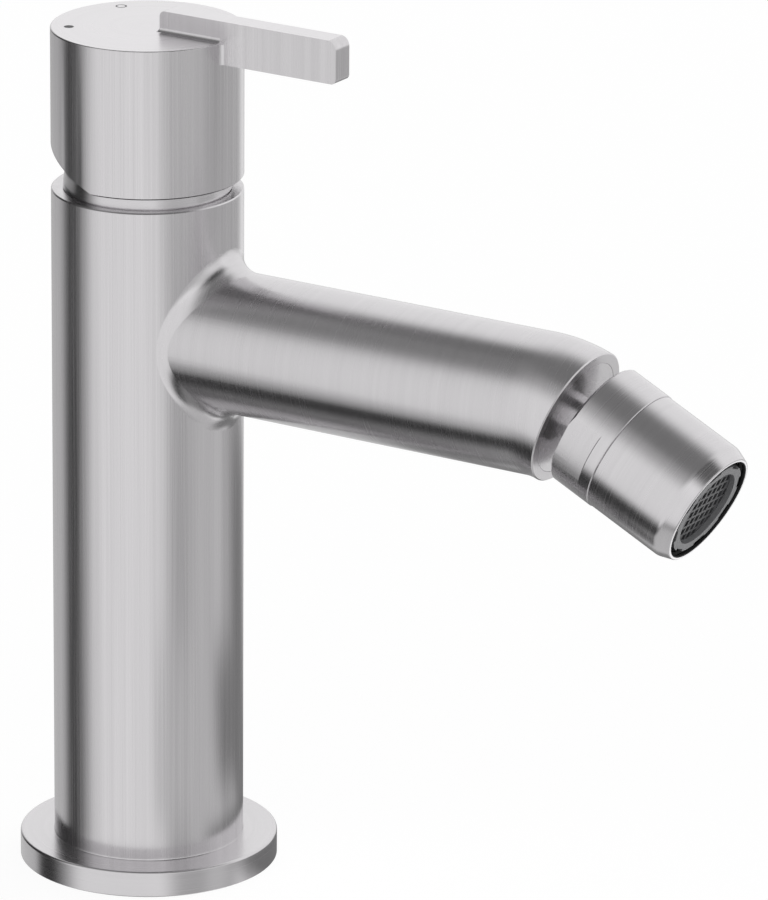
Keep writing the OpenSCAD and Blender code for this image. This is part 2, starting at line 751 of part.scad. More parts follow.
module stud_washer() {
  color(rubber) at_spout_end() turned_x([[end_thread_d / 2, -ball_reach - collar_h - washer_h],
    [collar_r, -ball_reach - collar_h - washer_h], [collar_r, -ball_reach - collar_h],
    [end_thread_d / 2, -ball_reach - collar_h]]);
}

// A zone of a hollow sphere round the jet's axis, between two places along it
module ball_zone(x0, x1) {
  rotate([0, 90, 0]) rotate_extrude() intersection() {
    difference() {
      circle(seat_out_r);
      circle(seat_in_r);
    }
    translate([0, x0]) square([2 * cup_r, x1 - x0]);
  }
}

module rear_seat() {
  color(pale_plastic) at_outlet() ball_zone(-seat_reach, -seat_edge);
}

module front_seat() {
  color(pale_plastic) at_outlet() ball_zone(seat_edge, seat_reach);
}

module swivel_nut() {
  edge = 0.5;
  flat_y = swivel_r - flat_depth;
  color(steel) at_outlet() difference() {
    turned_x([[0, -swivel_back], [swivel_r - edge, -swivel_back], [swivel_r, -swivel_back + edge],
      [swivel_r, swivel_front - small_edge], [swivel_r - small_edge, swivel_front], [0, swivel_front]]);
    sphere(r = cup_r);
    rod_x(swivel_mouth_r, -swivel_back - over, 0);
    rod_x(swivel_thread_r + fit, -swivel_thread_back, swivel_front + over);
    for (side = [0, 1]) mirror([0, side, 0]) translate([-swivel_back - over, flat_y, -swivel_r])
      cube([flat_l + over, swivel_r, swivel_d]);
  }
}

module outlet_shell() {
  // From the shell's side round into the slope, and at the rim round into its flat face
  rim_edge = 0.3;
  rim_c = [rim_d / 2 - rim_edge, shell_l - rim_edge];
  slope_l = (nose_drop / 2 - nose_r * (1 - cos(nose_slope))) / tan(nose_slope);
  side_end = shell_l - slope_l - nose_r * sin(nose_slope);
  nose = concat(arc_points([shell_d / 2 - nose_r, side_end], nose_r, 0, nose_slope, 6),
    arc_points(rim_c, rim_edge, nose_slope, 90, 5));
  thread_x = -swivel_thread_back + free_gap;
  seal_room = ball_seal_t / 2 + fit;
  color(steel) at_outlet() difference() {
    turned_x(concat([[0, thread_x], [swivel_thread_r, thread_x], [swivel_thread_r, swivel_front],
      [shell_d / 2 - small_edge, swivel_front], [shell_d / 2, swivel_front + small_edge]], nose,
      [[aerator_r + small_edge, shell_l], [aerator_r, shell_l - small_edge], [aerator_r, bore_x],
      [0, bore_x]]));
    sphere(r = cup_r);
    rod_x(shell_way_r, 0, bore_x + over);
    rod_x(ball_seal_r + seal_room, ball_seal_x - seal_room, ball_seal_x + seal_room);
  }
}

module ball_seal() {
  color(rubber) at_outlet() rotate([0, 90, 0]) translate([0, 0, ball_seal_x]) rotate_extrude()
    translate([ball_seal_r, 0]) circle(d = ball_seal_t, $fn = 32);
}

module aerator_washer() {
  hole_step = 1;
  hole_r = shell_way_r + hole_step;
  color(rubber) at_outlet() turned_x([[hole_r, bore_x], [insert_r, bore_x], [insert_r, insert_x],
    [hole_r, insert_x]]);
}

module aerator_insert() {
  shelf_x = insert_x + tray_l;
  notch_w = 3.4;
  notch_depth = 0.6;
  front_x = insert_x + insert_h;
  color(grey_plastic) at_outlet() difference() {
    turned_x([[tray_r, insert_x], [insert_r, insert_x], [insert_r, insert_thread_top],
      [key_ring_d / 2, insert_thread_top], [key_ring_d / 2, front_x], [grid_d / 2, front_x],
      [grid_d / 2, grid_x + grid_h], [grid_seat_r, grid_x + grid_h], [grid_seat_r, shelf_x],
      [tray_r, shelf_x]]);
    for (i = [0 : key_notches - 1]) rotate([360 * (i + 0.5) / key_notches, 0, 0])
      translate([insert_thread_top, -notch_w / 2, key_ring_d / 2 - notch_depth])
        cube([key_ring_h + over, notch_w, insert_r]);
  }
}

module aerator_screen() {
  slots = 9;
  slot_w = 1.2;
  slot_pitch = 1.9;
  screen_r = tray_r - fit;
  screen_rim = 1.4;
  slot_reach = screen_r - screen_rim;
  color(steel) at_outlet() translate([insert_x, 0, 0]) rotate([0, 90, 0]) linear_extrude(screen_h)
    difference() {
      circle(screen_r);
      for (i = [0 : slots - 1]) {
        y = (i - (slots - 1) / 2) * slot_pitch;
        half = sqrt(pow(slot_reach, 2) - y * y);
        translate([-half, y - slot_w / 2]) square([2 * half, slot_w]);
      }
    }
}

module aerator_distributor() {
  jets = 12;
  jet_d = 1.1;
  jet_circle_d = 13;
  color(dark_plastic) at_outlet() translate([insert_x + screen_h, 0, 0]) rotate([0, 90, 0])
    linear_extrude(tray_l - screen_h) difference() {
      circle(tray_r - fit);
      for (i = [0 : jets - 1]) rotate(360 * i / jets) translate([jet_circle_d / 2, 0]) circle(d = jet_d);
    }
}

// Middles of the outlet grid's cells that lie well inside its open circle
grid_rim = 0.2;
grid_open_r = grid_d / 2 - grid_rim;
grid_rows = round(grid_d / grid_rise);
grid_columns = round(grid_d / grid_pitch);
cell_part = 0.3;
grid_cells = [for (i = [0 : grid_rows - 1]) for (j = [0 : grid_columns - 1]) let (
    c = [(i - (grid_rows - 1) / 2) * grid_rise, (j - (grid_columns - 1) / 2) * grid_pitch])
  if (norm(c) < grid_open_r - cell_part) c];

module aerator_grid() {
  cell = [grid_rise - grid_bar, grid_pitch - grid_bar];
  color(dark_plastic) at_outlet() translate([grid_x, 0, 0]) rotate([0, 90, 0]) linear_extrude(grid_h)
    difference() {
      circle(grid_seat_r - fit);
      intersection() {
        circle(grid_open_r);
        for (c = grid_cells) translate(c) square(cell, center = true);
      }
    }
}

body();
base_flange();
base_seal();
neck_ring();
cartridge_nut();
cartridge_housing();
cartridge_base();
inlet_seals();
disc_seals();
fixed_disc();
ball_stud();
stud_washer();
rotor();
pivot_pin();
rotor_seal();
handle();
spindle();
grub_screw();
screw_plug();
disc_carrier();
moving_disc();
rear_seat();
front_seat();
swivel_nut();
outlet_shell();
ball_seal();
aerator_washer();
aerator_screen();
aerator_distributor();
aerator_insert();
aerator_grid();
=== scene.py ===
"""Looks of a brushed steel bidet mixer, built around its packed construction.

The frame holds every piece at its real size and place. This script gives each piece its finish, models
the pieces whose skin has to flow from one form into the next, and sets the studio, floor and camera.
Sizes in the classes are in millimetres, and the scene is in metres.
"""

import json
import logging
import math
from dataclasses import dataclass
from enum import Enum
from typing import Iterable, Sequence

import bpy
from mathutils import Euler, Matrix, Vector


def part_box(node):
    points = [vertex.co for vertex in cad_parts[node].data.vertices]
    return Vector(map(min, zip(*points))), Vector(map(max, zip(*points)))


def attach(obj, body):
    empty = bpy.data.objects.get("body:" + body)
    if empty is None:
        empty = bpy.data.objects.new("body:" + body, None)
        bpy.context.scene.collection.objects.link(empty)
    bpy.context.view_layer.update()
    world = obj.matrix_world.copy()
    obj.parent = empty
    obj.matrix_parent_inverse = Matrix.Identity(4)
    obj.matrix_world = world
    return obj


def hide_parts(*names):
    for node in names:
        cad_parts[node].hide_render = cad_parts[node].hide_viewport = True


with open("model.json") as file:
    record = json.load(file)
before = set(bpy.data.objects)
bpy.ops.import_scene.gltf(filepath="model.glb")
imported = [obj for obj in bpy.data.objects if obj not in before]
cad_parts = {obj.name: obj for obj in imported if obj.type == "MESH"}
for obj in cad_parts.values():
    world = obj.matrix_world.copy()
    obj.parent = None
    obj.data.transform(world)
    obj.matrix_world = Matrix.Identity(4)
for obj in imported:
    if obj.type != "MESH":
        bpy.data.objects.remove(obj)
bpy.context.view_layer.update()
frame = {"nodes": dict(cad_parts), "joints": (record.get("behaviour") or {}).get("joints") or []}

MM = 0.001
TURN = 2 * math.pi
ROUND_STEPS = 192
SMOOTH_ANGLE = math.radians(28)
WELD = 0.002 * MM
QUARTER_TURN = 0.25  # of the shader's blur, from along the tangent to across it
FACING = 0.99  # least share of a direction in the normal of a face that looks that way
PAST = 1.0  # how far a cutting tool reaches past the piece, in millimetres

logging.basicConfig(level=logging.INFO, format="%(name)s: %(message)s")
log = logging.getLogger("mixer")

Colour = tuple[float, float, float, float]
Point = tuple[float, float]
Material = bpy.types.Material
Node = bpy.types.Node
Piece = bpy.types.Object
Socket = bpy.types.NodeSocket
Tree = bpy.types.NodeTree


def linear(code: str) -> Colour:
    """Turns an sRGB hex colour into linear light.

    Args:
        code: The colour as #rrggbb.

    Returns:
        Red, green, blue and alpha.
    """
    parts = [int(code[i:i + 2], 16) / 255 for i in (1, 3, 5)]
    red, green, blue = (p / 12.92 if p <= 0.04045 else ((p + 0.055) / 1.055) ** 2.4 for p in parts)
    return red, green, blue, 1.0


def add_node(tree: Tree, kind: str, inputs: dict | None = None, **settings) -> Node:
    """Adds one node with its settings and its inputs.

    Args:
        tree: The node tree to add it to.
        kind: Blender's name of the node.
        inputs: Values by socket name or number; a socket as the value is linked.
        **settings: Properties of the node.

    Returns:
        The new node.
    """
    made = tree.nodes.new(kind)
    for name, value in settings.items():
        setattr(made, name, value)
    for key, value in (inputs or {}).items():
        if isinstance(value, Socket):
            tree.links.new(value, made.inputs[key])
        else:
            made.inputs[key].default_value = value
    return made


def joint_named(name: str) -> dict:
    """Finds a joint of the frame by its name."""
    return next(j for j in frame["joints"] if j["name"] == name)


def outlet_frame() -> tuple[Vector, Vector]:
    """Axis of the outlet and centre of its ball, as they stand at rest."""
    spin = joint_named("outlet_spin")
    return Vector(spin["axis"]).normalized(), Vector(spin["pos_m"])


# Finishes


def new_finish(name: str) -> tuple[Material, Tree, Node]:
    """Starts a material with the standard shader.

    Args:
        name: The material's name.

    Returns:
        The material, its node tree and its shader.
    """
    made = bpy.data.materials.new(name)
    made.use_nodes = True
    return made, made.node_tree, made.node_tree.nodes["Principled BSDF"]


def lay_skin(tree: Tree, finish: "BrushedMetal | Moulded", tone: Socket, relief: Socket, spread: Point,
             depth: float) -> None:
    """Gives a finish its colour, its roughness and its relief.

    Args:
        tree: The material's node tree.
        finish: The finish with its colours and roughness.
        tone: 0 for the dark colour and 1 for the light one.
        relief: Height of the skin, which the roughness follows.
        spread: The heights between which the roughness changes.
        depth: Depth of the relief in millimetres.
    """
    shader = tree.nodes["Principled BSDF"]
    tint = add_node(tree, "ShaderNodeMix", {0: tone, 6: linear(finish.dark), 7: linear(finish.light)},
                    data_type="RGBA")
    rough = add_node(tree, "ShaderNodeMapRange", {0: relief, 1: spread[0], 2: spread[1],
                                                  3: finish.roughness - finish.rough_swing,
                                                  4: finish.roughness + finish.rough_swing})
    bump = add_node(tree, "ShaderNodeBump", {"Height": relief, "Strength": 1.0, "Distance": depth * MM})
    tree.links.new(tint.outputs[2], shader.inputs["Base Color"])
    tree.links.new(rough.outputs[0], shader.inputs["Roughness"])
    tree.links.new(bump.outputs[0], shader.inputs["Normal"])


class Lay(Enum):
    """How the brush marks run on a piece, about its axis."""

    ALONG = "along the axis"
    ROUND = "in circles round the axis"


@dataclass(frozen=True)
class BrushedMetal:
    """Brushed or turned metal: steel ground with an abrasive belt, or steel and brass cut on a lathe.

    The fine parallel scratches blur reflections across the marks and keep them crisp along the marks.
    """

    name: str
    lay: Lay
    axis: Vector = Vector((0, 0, 1))
    centre: Vector = Vector((0, 0, 0))
    light: str = "#D9D7D9"
    dark: str = "#D3D1D3"
    roughness: float = 0.24
    rough_swing: float = 0.04
    anisotropy: float = 0.5
    # Brush marks of a 240 grit belt are about 0.05 mm wide: drawn four times as wide, so that they show
    mark_width: float = 0.2
    mark_length: float = 60.0
    mark_detail: float = 3.0
    band_width: float = 1.6
    band_length: float = 260.0
    band_detail: float = 2.0
    band_share: float = 0.45
    finer_share: float = 0.6
    tone_range: Point = (0.36, 0.64)
    rough_range: Point = (0.3, 0.7)
    scratch_depth: float = 0.0006
    # An upright lay leans a little, so that it is not square to a level face either
    lean: float = 0.02

    def place(self) -> tuple[Euler, Vector]:
        """Works out how the piece's axis is set on Z.

        Returns:
            The turn, and the shift after it.
        """
        turn = self.axis.rotation_difference(Vector((0, 0, 1))).to_euler()
        shift = self.centre.copy()
        shift.rotate(turn)
        return turn, -shift

    def marks(self, tree: Tree, local: Socket, width: float, length: float, detail: float) -> Socket:
        """Draws brush marks as noise that is stretched along the lay.

        Args:
            tree: The material's node tree.
            local: The place on the piece, with its axis on Z.
            width: Width of a mark in millimetres.
            length: Length of a mark in millimetres.
            detail: Octaves of finer marks in it.

        Returns:
            The socket with the marks' strength.
        """
        across, along = 1 / (width * MM), 1 / (length * MM)
        if self.lay is Lay.ALONG:
            spread = add_node(tree, "ShaderNodeVectorMath", {0: local, 1: (across, across, along)},
                              operation="MULTIPLY").outputs[0]
        else:
            parts = add_node(tree, "ShaderNodeSeparateXYZ", {0: local})
            flat = add_node(tree, "ShaderNodeVectorMath", {0: local, 1: (1, 1, 0)}, operation="MULTIPLY")
            radius = add_node(tree, "ShaderNodeVectorMath", {0: flat.outputs[0]}, operation="LENGTH")
            rings = add_node(tree, "ShaderNodeCombineXYZ", {0: radius.outputs["Value"], 1: parts.outputs[2]})
            fine = add_node(tree, "ShaderNodeVectorMath", {0: rings.outputs[0], 1: (across,) * 3},
                            operation="MULTIPLY")
            spread = add_node(tree, "ShaderNodeVectorMath", {0: local, 1: (along,) * 3, 2: fine.outputs[0]},
                              operation="MULTIPLY_ADD").outputs[0]
        return add_node(tree, "ShaderNodeTexNoise", {"Vector": spread, "Scale": 1.0, "Detail": detail,
                                                     "Roughness": self.finer_share}).outputs["Fac"]

    def blur_direction(self, tree: Tree, local: Socket) -> Socket:
        """Gives the direction that reflections follow on the piece, in the scene's frame.

        Args:
            tree: The material's node tree.
            local: The place on the piece, with its axis on Z.

        Returns:
            A vector socket for the shader's tangent.
        """
        turn, _ = self.place()
        if self.lay is Lay.ALONG:
            own = add_node(tree, "ShaderNodeCombineXYZ", {0: self.lean, 2: 1.0}).outputs[0]
        else:
            flat = add_node(tree, "ShaderNodeVectorMath", {0: local, 1: (1, 1, 0)}, operation="MULTIPLY")
            outward = add_node(tree, "ShaderNodeVectorMath", {0: flat.outputs[0]}, operation="NORMALIZE")
            own = add_node(tree, "ShaderNodeVectorMath", {0: outward.outputs[0], 1: (0, 0, 1)},
                           operation="ADD").outputs[0]
        back = add_node(tree, "ShaderNodeVectorRotate", {"Vector": own, "Rotation": turn},
                        rotation_type="EULER_XYZ", invert=True)
        return add_node(tree, "ShaderNodeVectorTransform", {0: back.outputs[0]}, vector_type="VECTOR",
                        convert_from="OBJECT", convert_to="WORLD").outputs[0]

    def material(self) -> Material:
        """Builds the finish.

        Returns:
            The material.
        """
        made, tree, shader = new_finish(self.name)
        turn, shift = self.place()
        coords = add_node(tree, "ShaderNodeTexCoord")
        local = add_node(tree, "ShaderNodeMapping", {"Vector": coords.outputs["Object"], "Rotation": turn,
                                                     "Location": shift}).outputs[0]
        fine = self.marks(tree, local, self.mark_width, self.mark_length, self.mark_detail)
        broad = self.marks(tree, local, self.band_width, self.band_length, self.band_detail)
        both = add_node(tree, "ShaderNodeMix", {0: self.band_share, 2: fine, 3: broad}).outputs[0]
        tone = add_node(tree, "ShaderNodeMapRange", {0: both, 1: self.tone_range[0], 2: self.tone_range[1]})
        lay_skin(tree, self, tone.outputs[0], fine, self.rough_range, self.scratch_depth)
        tree.links.new(self.blur_direction(tree, local), shader.inputs["Tangent"])
        shader.inputs["Metallic"].default_value = 1.0
        shader.inputs["Anisotropic"].default_value = self.anisotropy
        shader.inputs["Anisotropic Rotation"].default_value = QUARTER_TURN if self.lay is Lay.ALONG else 0.0
        return made


@dataclass(frozen=True)
class Moulded:
    """A moulded or cut finish of one colour: acetal, rubber, ceramic or enamel.

    Its colour clouds a little and its skin has the faint grain that the mould or tool left.
    """

    name: str
    light: str
    dark: str
    roughness: float
    rough_swing: float = 0.05
    cloud: float = 3.0
    # The grain of a mould is about 0.05 mm wide: drawn three times as wide, so that it shows
    grain: float = 0.15
    grain_depth: float = 0.002

    def material(self) -> Material:
        """Builds the finish.

        Returns:
            The material.
        """
        made, tree, _ = new_finish(self.name)
        coords = add_node(tree, "ShaderNodeTexCoord").outputs["Object"]
        cloud = add_node(tree, "ShaderNodeTexNoise", {"Vector": coords, "Scale": 1 / (self.cloud * MM),
                                                      "Detail": 2.0})
        grain = add_node(tree, "ShaderNodeTexNoise", {"Vector": coords, "Scale": 1 / (self.grain * MM),
                                                      "Detail": 1.0})
        lay_skin(tree, self, cloud.outputs[0], grain.outputs[0], (0.0, 1.0), self.grain_depth)
        return made


# Workbench


class Tooling(Enum):
    """What one solid does to another."""

    JOIN = "UNION"
    CUT = "DIFFERENCE"
    TRIM = "INTERSECT"


def deselect() -> None:
    """Leaves edit mode and selects nothing."""
    if bpy.context.object and bpy.context.object.mode != "OBJECT":
        bpy.ops.object.mode_set(mode="OBJECT")
    bpy.ops.object.select_all(action="DESELECT")


def pick(piece: Piece) -> None:
    """Selects one piece and makes it the active one.

    Args:
        piece: The piece.
    """
    deselect()
    piece.select_set(True)
    bpy.context.view_layer.objects.active = piece


def face_outwards() -> None:
    """Turns every face of the piece in edit mode outwards and leaves edit mode."""
    bpy.ops.mesh.select_all(action="SELECT")
    bpy.ops.mesh.normals_make_consistent(inside=False)
    bpy.ops.object.mode_set(mode="OBJECT")


def arc(centre: Point, radius: float, start: float, end: float, steps: int) -> list[Point]:
    """Points along an arc of an outline.

    Args:
        centre: The arc's centre.
        radius: Its radius.
        start: Angle of its first point, in degrees.
        end: Angle of its last point, in degrees.
        steps: Number of chords.

    Returns:
        The points, ends included.
    """
    turns = [math.radians(start + (end - start) * i / steps) for i in range(steps + 1)]
    return [(centre[0] + radius * math.cos(t), centre[1] + radius * math.sin(t)) for t in turns]


def draw_outline(name: str, outline: Sequence[Point]) -> Piece:
    """Draws a closed outline in the XZ plane, one extruded vertex after another.

    Args:
        name: Name of the new piece.
        outline: Its points, [radius, height] in millimetres.

    Returns:
        The piece, in edit mode with all of it selected.
    """
    deselect()
    first = Vector((outline[0][0], 0, outline[0][1])) * MM
    bpy.ops.mesh.primitive_plane_add(size=MM, location=(0, 0, 0))
    piece = bpy.context.object
    piece.name = piece.data.name = name
    bpy.ops.object.mode_set(mode="EDIT")
    bpy.ops.mesh.select_all(action="SELECT")
    bpy.ops.mesh.merge(type="CENTER")
    bpy.ops.transform.translate(value=first)
    for here, there in zip(outline, outline[1:]):
        step = Vector((there[0] - here[0], 0, there[1] - here[1])) * MM
        bpy.ops.mesh.extrude_region_move(TRANSFORM_OT_translate={"value": step})
    bpy.ops.mesh.select_all(action="SELECT")
    return piece


def lathe(name: str, outline: Sequence[Point], axis: Vector = Vector((0, 0, 1)),
          centre: Vector = Vector((0, 0, 0)), steps: int = ROUND_STEPS) -> Piece:
    """Turns an outline into a solid of revolution.

    Args:
        name: Name of the new piece.
        outline: Points [radius, place along the axis] in millimetres; it closes on itself or on the axis.
        axis: Direction of the axis in the scene.
        centre: Zero of the outline in the scene.
        steps: Facets round the axis.

    Returns:
        The solid, at the origin, with its place in its mesh.
    """
    piece = draw_outline(name, outline)
    bpy.ops.mesh.spin(steps=steps, angle=TURN, center=(0, 0, 0), axis=(0, 0, 1))
    bpy.ops.mesh.select_all(action="SELECT")
    bpy.ops.mesh.remove_doubles(threshold=WELD)
    face_outwards()
    piece.rotation_euler = Vector((0, 0, 1)).rotation_difference(axis).to_euler()
    piece.location = centre
    bpy.ops.object.transform_apply(location=True, rotation=True, scale=True)
    return piece


def combine(piece: Piece, tools: Iterable[Piece], tooling: Tooling) -> None:
    """Joins solids to a piece, cuts them out of it or trims it to them, and removes them.

    Args:
        piece: The piece that stays.
        tools: The solids that are used up.
        tooling: What the solids do to it.
    """
    for tool in tools:
        pick(piece)
        bpy.ops.object.modifier_add(type="BOOLEAN")
        cut = piece.modifiers[-1]
        cut.operation, cut.object, cut.solver = tooling.value, tool, "EXACT"
        bpy.ops.object.modifier_apply(modifier=cut.name)
        bpy.data.objects.remove(tool)


def smooth(piece: Piece) -> None:
    """Shades the flowing skin smooth, keeps real edges and lets large faces lead the normals.

    Args:
        piece: The piece.
    """
    pick(piece)
    bpy.ops.object.shade_smooth_by_angle(angle=SMOOTH_ANGLE)
    bpy.ops.object.modifier_add(type="WEIGHTED_NORMAL")
    piece.modifiers[-1].keep_sharp = True
    bpy.ops.object.modifier_apply(modifier=piece.modifiers[-1].name)


def dress(piece: Piece, *finishes: Material) -> None:
    """Puts finishes in a piece's material slots, in place of what was there.

    Args:
        piece: The piece.
        *finishes: Its materials, in the order of the slots.
    """
    piece.data.materials.clear()
    for finish in finishes:
        piece.data.materials.append(finish)


def settle(piece: Piece, body: str, slot: str, *nodes: str) -> None:
    """Sets a finished piece on its body.

    Args:
        piece: The piece.
        body: The body that it rides on.
        slot: The record's material slot; not used.
        *nodes: The nodes that it stands for.
    """
    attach(piece, body)
    if nodes:
        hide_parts(*nodes)
    log.info("%s: %d faces on %s", piece.name, len(piece.data.polygons), body)


# Sub-assemblies


@dataclass
class MixerBody:
    """The column with its spout, one casting: column, blend, straight spout and bent end."""

    spigot_radius: float = 18.35
    spigot_foot: float = 2.8
    top_edge: float = 0.25
    # A bright bead of the joint runs round the column's foot
    bead_width: float = 0.12
    bead_height: float = 0.4
    spout_radius: float = 14.4
    spout_height: float = 114.3
    bend_angle: float = 20.0
    bend_radius: float = 22.7
    bend_steps: int = 20
    ball_reach: float = 11.8
    tip_edge: float = 0.25
    blend_radius: float = 5.0
    blend_rings: int = 144
    blend_steps: int = 14
    # The blend is let a hair's breadth into both cylinders, so that its edges meet them cleanly
    blend_sink: float = 0.02
    blend_depth: float = 1.2
    bore_radius: float = 17.0
    bore_top: float = 95.3
    pocket: tuple[Point, ...] = ((0, 124), (12.55, 124), (12.55, 135), (14.45, 135), (14.45, 150),
                                 (0, 150))
    end_bore: tuple[Point, ...] = ((0, -7.5), (11.46, -7.5), (11.46, -2.5), (12.26, -2.5), (12.26, 1),
                                   (0, 1))

    def __post_init__(self) -> None:
        """Takes the outer sizes from the frame."""
        low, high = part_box("body")
        self.column_radius = -low.x / MM
        self.top = high.z / MM
        self.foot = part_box("base_flange")[1].z / MM
        _, self.ball = outlet_frame()
        slope = math.radians(self.bend_angle)
        self.end_axis = Vector((math.cos(slope), 0, -math.sin(slope)))

    def column(self) -> Piece:
        """Turns the column with its spigot."""
        return lathe("mixer_body", [
            (0, self.spigot_foot), (self.spigot_radius, self.spigot_foot), (self.spigot_radius, self.foot),
            (self.column_radius + self.bead_width, self.foot),
            (self.column_radius, self.foot + self.bead_height),
            (self.column_radius, self.top - self.top_edge),
            (self.column_radius - self.top_edge, self.top), (0, self.top)])

    def spout(self) -> Piece:
        """Draws the spout out of a circle, spins its bend and bevels its tip.

        Returns:
            The closed spout.
        """
        tip = self.ball / MM - self.end_axis * (self.ball_reach + self.tip_edge)
        bend_start = tip.x - self.bend_radius * math.sin(math.radians(self.bend_angle))
        start = self.column_radius / 2
        deselect()
        bpy.ops.mesh.primitive_circle_add(vertices=ROUND_STEPS, radius=self.spout_radius * MM,
                                          fill_type="NGON", rotation=(0, math.pi / 2, 0),
                                          location=(start * MM, 0, self.spout_height * MM))
        piece = bpy.context.object
        piece.name = piece.data.name = "spout_blank"
        bpy.ops.object.transform_apply(location=True, rotation=True, scale=True)
        bpy.ops.object.mode_set(mode="EDIT")
        bpy.ops.mesh.select_all(action="SELECT")
        bpy.ops.mesh.extrude_region_move(
            TRANSFORM_OT_translate={"value": ((bend_start - start) * MM, 0, 0)})
        bpy.ops.mesh.spin(steps=self.bend_steps, angle=-math.radians(self.bend_angle), axis=(0, 1, 0),
                          center=(bend_start * MM, 0, (self.spout_height - self.bend_radius) * MM))
        bpy.ops.mesh.extrude_region_move(
            TRANSFORM_OT_translate={"value": self.end_axis * self.tip_edge * MM})
        shrink = 1 - self.tip_edge / self.spout_radius
        bpy.ops.transform.resize(value=(shrink,) * 3,
                                 center_override=self.ball - self.end_axis * self.ball_reach * MM)
        face_outwards()
        return piece

    def blend_ring(self, angle: float) -> list[Vector]:
        """Section of the blend at one angle round the spout: a ball rolled in the corner.

        Args:
            angle: Angle round the spout's axis, from the top.

        Returns:
            The section's points, in millimetres from the spout's axis height.
        """
        out = Vector((0, math.sin(angle), math.cos(angle)))
        reach = self.spout_radius + self.blend_radius - self.blend_sink
        wide = self.column_radius + self.blend_radius - self.blend_sink
        middle = out * reach + Vector((math.sqrt(wide ** 2 - (reach * out.y) ** 2), 0, 0))
        to_column = -Vector((middle.x, middle.y, 0)).normalized()
        skin = [middle + self.blend_radius * to_column.slerp(-out, i / self.blend_steps)
                for i in range(self.blend_steps + 1)]
        inner = out * (self.spout_radius - self.blend_depth)
        corner = math.sqrt(self.column_radius ** 2 - (self.spout_radius * out.y) ** 2) - self.blend_depth
        flat = Vector((skin[0].x, skin[0].y, 0))
        sunk = flat * ((self.column_radius - self.blend_depth) / flat.length) + Vector((0, 0, skin[0].z))
        return skin + [Vector((skin[-1].x, inner.y, inner.z)), Vector((corner, inner.y, inner.z)), sunk]

    def blend(self) -> Piece:
        """Lofts the blend's sections into a ring, since no operator rolls a ball round this corner.

        Returns:
            The closed ring.
        """
        rings = [self.blend_ring(TURN * i / self.blend_rings) for i in range(self.blend_rings)]
        count = len(rings[0])
        points = [(p + Vector((0, 0, self.spout_height))) * MM for ring in rings for p in ring]
        faces = [(i * count + j, i * count + k, following * count + k, following * count + j)
                 for i in range(self.blend_rings) for following in [(i + 1) % self.blend_rings]
                 for j in range(count) for k in [(j + 1) % count]]
        mesh = bpy.data.meshes.new("blend_blank")
        mesh.from_pydata(points, [], faces)
        piece = bpy.data.objects.new("blend_blank", mesh)
        bpy.context.collection.objects.link(piece)
        pick(piece)
        bpy.ops.object.mode_set(mode="EDIT")
        face_outwards()
        return piece

    def finishes(self) -> list[Material]:
        """The finishes of the casting.

        Returns:
            The column's upright brushing, the spout's round brushing and the turned end face.
        """
        end = self.ball - self.end_axis * self.ball_reach * MM
        spout = Vector((0, 0, self.spout_height * MM))
        made = (BrushedMetal("steel_brushed_upright", Lay.ALONG, light="#DCDADC", dark="#D0CED0"),
                BrushedMetal("steel_brushed_round_spout", Lay.ROUND, axis=Vector((1, 0, 0)), centre=spout,
                             scratch_depth=0.0003),
                BrushedMetal("steel_turned_spout_end", Lay.ROUND, axis=self.end_axis, centre=end,
                             roughness=0.3))
        return [finish.material() for finish in made]

    def build(self) -> None:
        """Joins the forms, cuts the bores and sets the piece on the mixer."""
        column, spout, blend = self.column(), self.spout(), self.blend()
        finishes = self.finishes()
        for piece, index in ((column, 0), (spout, 1), (blend, 1)):
            dress(piece, *finishes)
            for face in piece.data.polygons:
                face.material_index = index
        for face in spout.data.polygons:
            if face.normal.dot(self.end_axis) > FACING:
                face.material_index = 2
        combine(column, [blend, spout], Tooling.JOIN)
        end = self.ball - self.end_axis * self.ball_reach * MM
        cuts = [lathe("bore_tool", [(0, -PAST), (self.bore_radius, -PAST), (self.bore_radius, self.bore_top),
                                    (0, self.bore_top)]),
                lathe("pocket_tool", self.pocket),
                lathe("end_tool", self.end_bore, self.end_axis, end)]
        combine(column, cuts, Tooling.CUT)
        smooth(column)
        settle(column, "mixer", "brushed_steel", "body")


@dataclass
class NeckRing:
    """The turned ring in the gap under the handle: a tapered wall over a shadow groove, and a domed roof."""

    taper: float = 0.3
    groove_height: float = 0.25
    groove_depth: float = 0.4
    wall_height: float = 3.1
    bore_radius: float = 15.1
    mouth_radius: float = 10.6
    roof: float = 2.35
    dome_steps: int = 16

    def build(self, steel: Material) -> None:
        """Turns the ring and sets it on the mixer.

        Args:
            steel: Its finish.
        """
        low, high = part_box("neck_ring")
        radius, foot, top = high.x / MM, low.z / MM, high.z / MM
        shoulder = foot + self.wall_height
        reach, rise = radius - self.taper - self.mouth_radius, top - shoulder
        turns = [math.pi / 2 * i / self.dome_steps for i in range(self.dome_steps + 1)]
        dome = [(self.mouth_radius + reach * math.cos(t), shoulder + rise * math.sin(t)) for t in turns]
        groove_floor, groove_top = radius - self.groove_depth, foot + self.groove_height
        groove = [(groove_floor, foot), (groove_floor, groove_top), (radius, groove_top)]
        inside = [(self.mouth_radius, top - self.roof), (self.bore_radius, top - self.roof)]
        start = [(self.bore_radius, foot)]
        ring = lathe("neck_ring_turned", start + groove + dome + inside + start)
        dress(ring, steel)
        smooth(ring)
        settle(ring, "mixer", "brushed_steel", "neck_ring")


